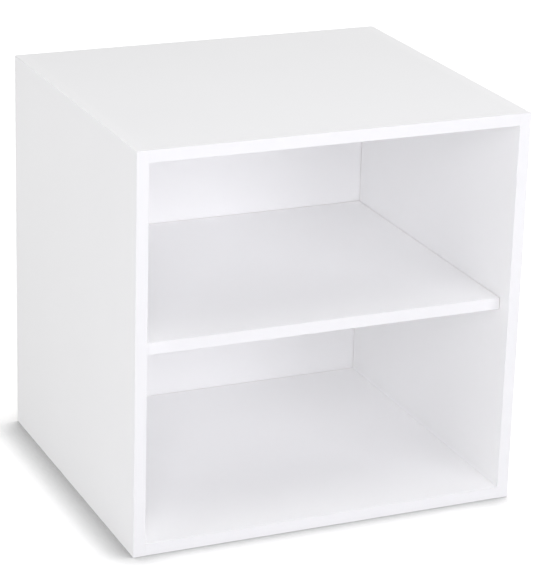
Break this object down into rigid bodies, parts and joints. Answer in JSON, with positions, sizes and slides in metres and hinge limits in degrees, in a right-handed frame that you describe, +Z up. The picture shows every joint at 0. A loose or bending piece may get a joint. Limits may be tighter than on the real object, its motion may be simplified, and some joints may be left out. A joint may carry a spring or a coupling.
{
  "type": "cube storage unit",
  "caption": "Open-fronted white board cube with a loose shelf across the middle and a thin back let into grooves, held together by cam locks, bolts and dowels.",
  "frame": {"origin": "middle of the footprint, on the floor", "axes": "+Z up, +X to the right seen from the front, the open front faces -Y"},
  "size_m": [0.4, 0.35, 0.4],
  "materials": {
    "white_melamine_board": "white melamine faces, fine satin texture, on particle board",
    "white_edging": "smooth satin white edging strip",
    "white_hardboard": "white lacquered face, raw brown fibreboard behind",
    "cast_zinc": "dull die-cast zinc",
    "plated_steel": "bright zinc plating",
    "beech": "raw beech"
  },
  "bodies": {
    "carcass": {"left_side_panel": "white_melamine_board", "right_side_panel": "white_melamine_board", "top_panel": "white_melamine_board", "bottom_panel": "white_melamine_board", "back_panel": "white_hardboard", "left_side_front_edging": "white_edging", "right_side_front_edging": "white_edging", "top_front_edging": "white_edging", "bottom_front_edging": "white_edging", "left_side_top_edging": "white_edging", "right_side_top_edging": "white_edging", "top_left_front_cam_bolt": "plated_steel", "top_left_front_dowel": "beech", "top_left_rear_cam_bolt": "plated_steel", "top_left_rear_dowel": "beech", "top_right_front_cam_bolt": "plated_steel", "top_right_front_dowel": "beech", "top_right_rear_cam_bolt": "plated_steel", "top_right_rear_dowel": "beech", "bottom_left_front_cam_bolt": "plated_steel", "bottom_left_front_dowel": "beech", "bottom_left_rear_cam_bolt": "plated_steel", "bottom_left_rear_dowel": "beech", "bottom_right_front_cam_bolt": "plated_steel", "bottom_right_front_dowel": "beech", "bottom_right_rear_cam_bolt": "plated_steel", "bottom_right_rear_dowel": "beech", "left_front_shelf_pin": "plated_steel", "left_rear_shelf_pin": "plated_steel", "right_front_shelf_pin": "plated_steel", "right_rear_shelf_pin": "plated_steel"},
    "shelf": {"shelf": "white_melamine_board", "shelf_front_edging": "white_edging"},
    "top_left_front_cam": {"top_left_front_cam": "cast_zinc"},
    "top_left_rear_cam": {"top_left_rear_cam": "cast_zinc"},
    "top_right_front_cam": {"top_right_front_cam": "cast_zinc"},
    "top_right_rear_cam": {"top_right_rear_cam": "cast_zinc"},
    "bottom_left_front_cam": {"bottom_left_front_cam": "cast_zinc"},
    "bottom_left_rear_cam": {"bottom_left_rear_cam": "cast_zinc"},
    "bottom_right_front_cam": {"bottom_right_front_cam": "cast_zinc"},
    "bottom_right_rear_cam": {"bottom_right_rear_cam": "cast_zinc"}
  },
  "joints": [
    {"name": "shelf_slide", "type": "slide", "parent": "carcass", "child": "shelf", "axis": [0, -1, 0], "range_m": [0, 0.35]},
    {"name": "top_left_front_cam_turn", "type": "hinge", "parent": "carcass", "child": "top_left_front_cam", "pos_m": [-0.164, -0.13, 0.388], "axis": [0, 0, -1], "range_deg": [0, 180]},
    {"name": "top_left_rear_cam_turn", "type": "hinge", "parent": "carcass", "child": "top_left_rear_cam", "pos_m": [-0.164, 0.13, 0.388], "axis": [0, 0, -1], "range_deg": [0, 180]},
    {"name": "top_right_front_cam_turn", "type": "hinge", "parent": "carcass", "child": "top_right_front_cam", "pos_m": [0.164, -0.13, 0.388], "axis": [0, 0, -1], "range_deg": [0, 180]},
    {"name": "top_right_rear_cam_turn", "type": "hinge", "parent": "carcass", "child": "top_right_rear_cam", "pos_m": [0.164, 0.13, 0.388], "axis": [0, 0, -1], "range_deg": [0, 180]},
    {"name": "bottom_left_front_cam_turn", "type": "hinge", "parent": "carcass", "child": "bottom_left_front_cam", "pos_m": [-0.164, -0.13, 0], "axis": [0, 0, -1], "range_deg": [0, 180]},
    {"name": "bottom_left_rear_cam_turn", "type": "hinge", "parent": "carcass", "child": "bottom_left_rear_cam", "pos_m": [-0.164, 0.13, 0], "axis": [0, 0, -1], "range_deg": [0, 180]},
    {"name": "bottom_right_front_cam_turn", "type": "hinge", "parent": "carcass", "child": "bottom_right_front_cam", "pos_m": [0.164, -0.13, 0], "axis": [0, 0, -1], "range_deg": [0, 180]},
    {"name": "bottom_right_rear_cam_turn", "type": "hinge", "parent": "carcass", "child": "bottom_right_rear_cam", "pos_m": [0.164, 0.13, 0], "axis": [0, 0, -1], "range_deg": [0, 180]}
  ]
}
